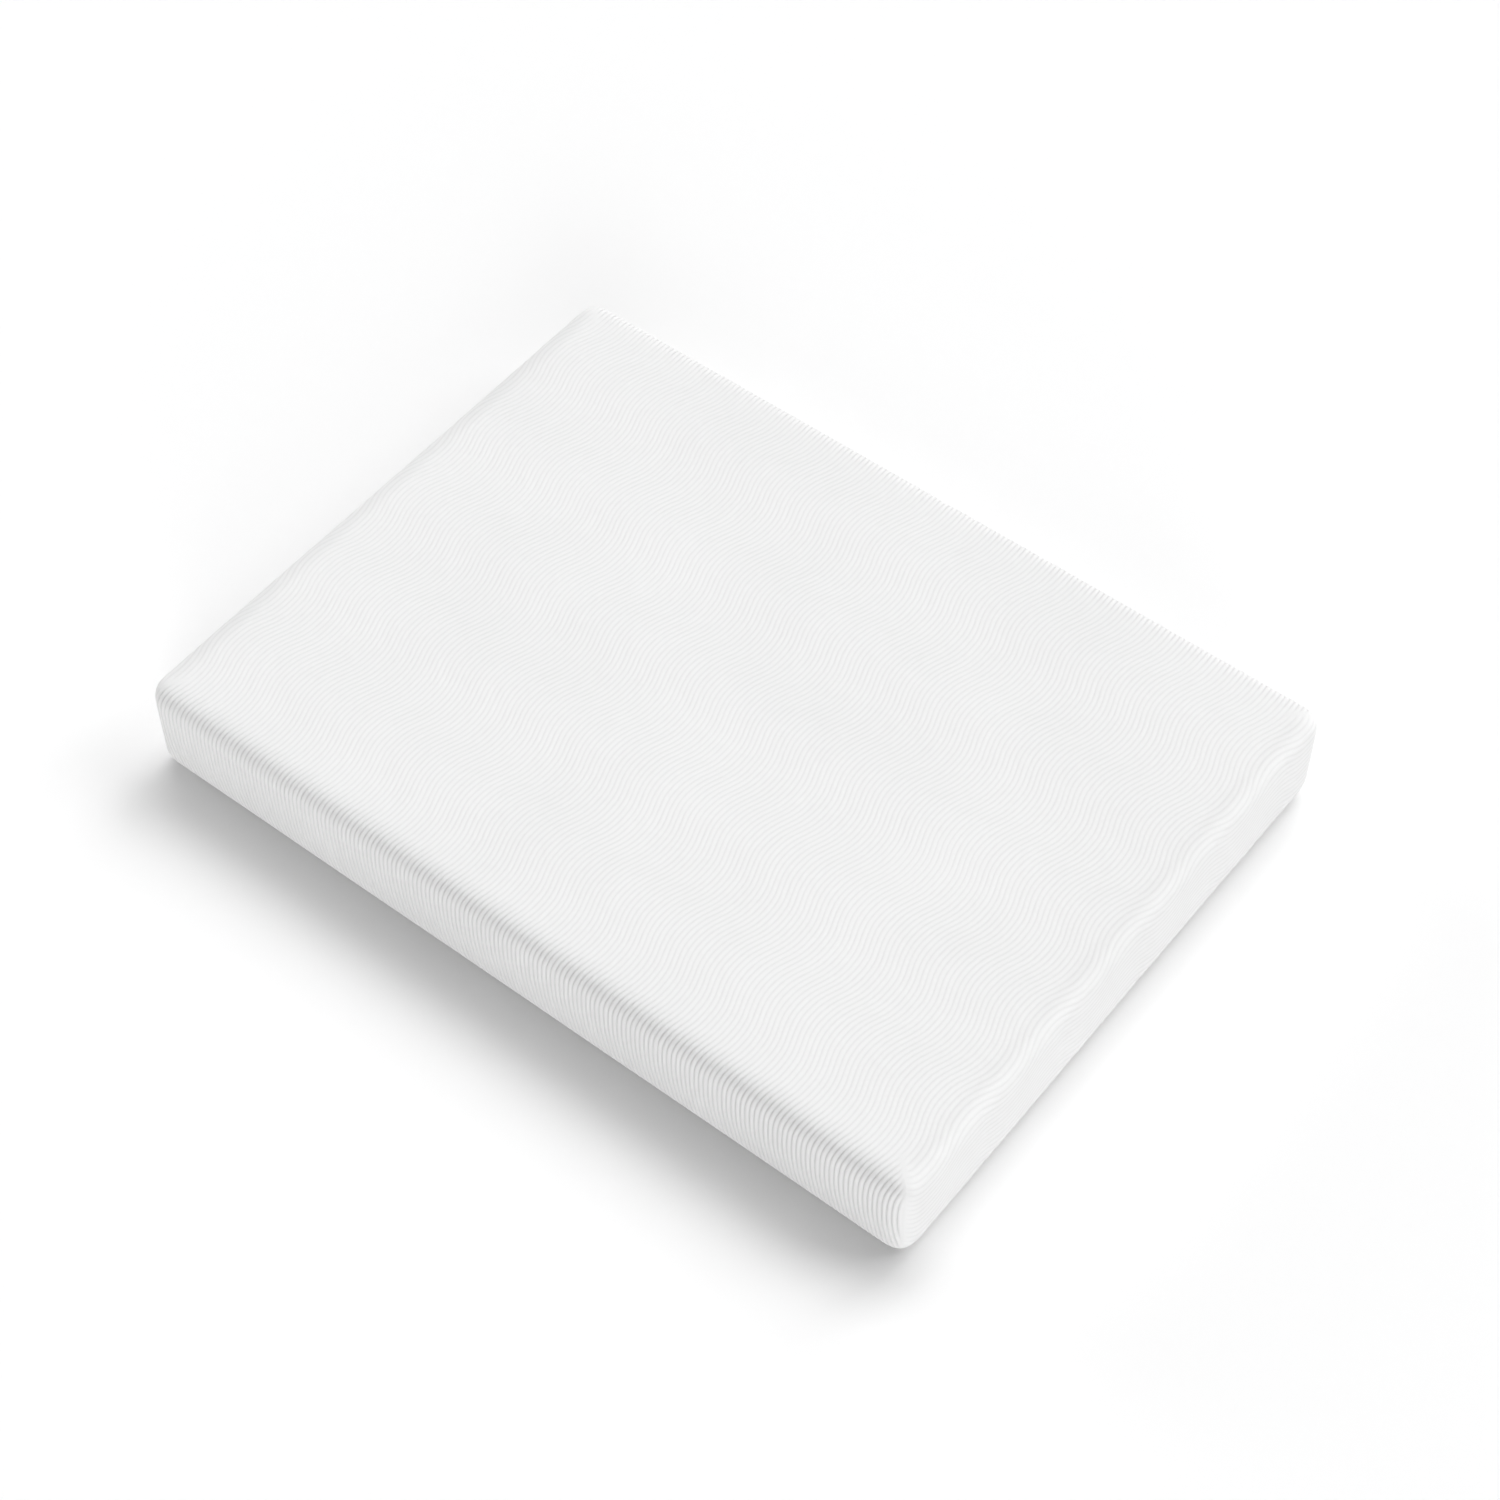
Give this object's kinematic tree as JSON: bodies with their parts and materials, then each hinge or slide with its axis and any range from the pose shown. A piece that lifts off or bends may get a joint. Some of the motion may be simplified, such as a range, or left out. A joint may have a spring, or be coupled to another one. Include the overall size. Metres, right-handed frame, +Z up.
{
  "type": "memory foam mattress",
  "caption": "Rectangular foam mattress with rounded edges in a ribbed white knit cover that closes with a zip along one lower edge.",
  "frame": {"origin": "middle of the underside, on the surface that the mattress lies on", "axes": "+X along the length, +Y across the width towards the side with the zip, +Z up through the thickness"},
  "size_m": [1.9006, 1.4093, 0.25],
  "materials": {
    "ribbed_knit": "matte",
    "fibre_wadding": "matte",
    "bottom_fabric": "matte",
    "binding_tape": "matte",
    "sewing_thread": "matte",
    "liner_knit": "matte",
    "memory_foam": "matte",
    "transition_foam": "matte",
    "base_foam": "matte",
    "foam_glue": "satin",
    "zip_tape": "matte",
    "zip_coil": "satin",
    "zip_metal": "satin",
    "label_satin": "satin",
    "label_woven": "matte"
  },
  "bodies": {
    "mattress": {"top_cover": "ribbed_knit", "cover_wadding": "fibre_wadding", "bottom_panel": "bottom_fabric", "edge_binding": "binding_tape", "corner_seam_front_right": "sewing_thread", "corner_seam_back_right": "sewing_thread", "corner_seam_back_left": "sewing_thread", "corner_seam_front_left": "sewing_thread", "inner_liner": "liner_knit", "memory_foam_layer": "memory_foam", "memory_glue_film": "foam_glue", "transition_foam_layer": "transition_foam", "transition_glue_film": "foam_glue", "base_foam_core": "base_foam", "zip_tape_upper": "zip_tape", "zip_tape_lower": "zip_tape", "zip_coil_upper": "zip_coil", "zip_coil_lower": "zip_coil", "zip_stop_closed_end": "zip_metal", "zip_stop_open_end": "zip_metal", "care_label": "label_satin", "safety_label": "label_woven"},
    "slider": {"zip_slider": "zip_metal"},
    "pull_tab": {"zip_pull_tab": "zip_metal"}
  },
  "joints": [
    {"name": "zip_slide", "type": "slide", "parent": "mattress", "child": "slider", "axis": [1, 0, 0], "range_m": [0, 1.741]},
    {"name": "tab_swing", "type": "hinge", "parent": "slider", "child": "pull_tab", "pos_m": [-0.8705, 0.69104, 0.01922], "axis": [0, 0.6, 0.8], "range_deg": [-80, 80]}
  ]
}
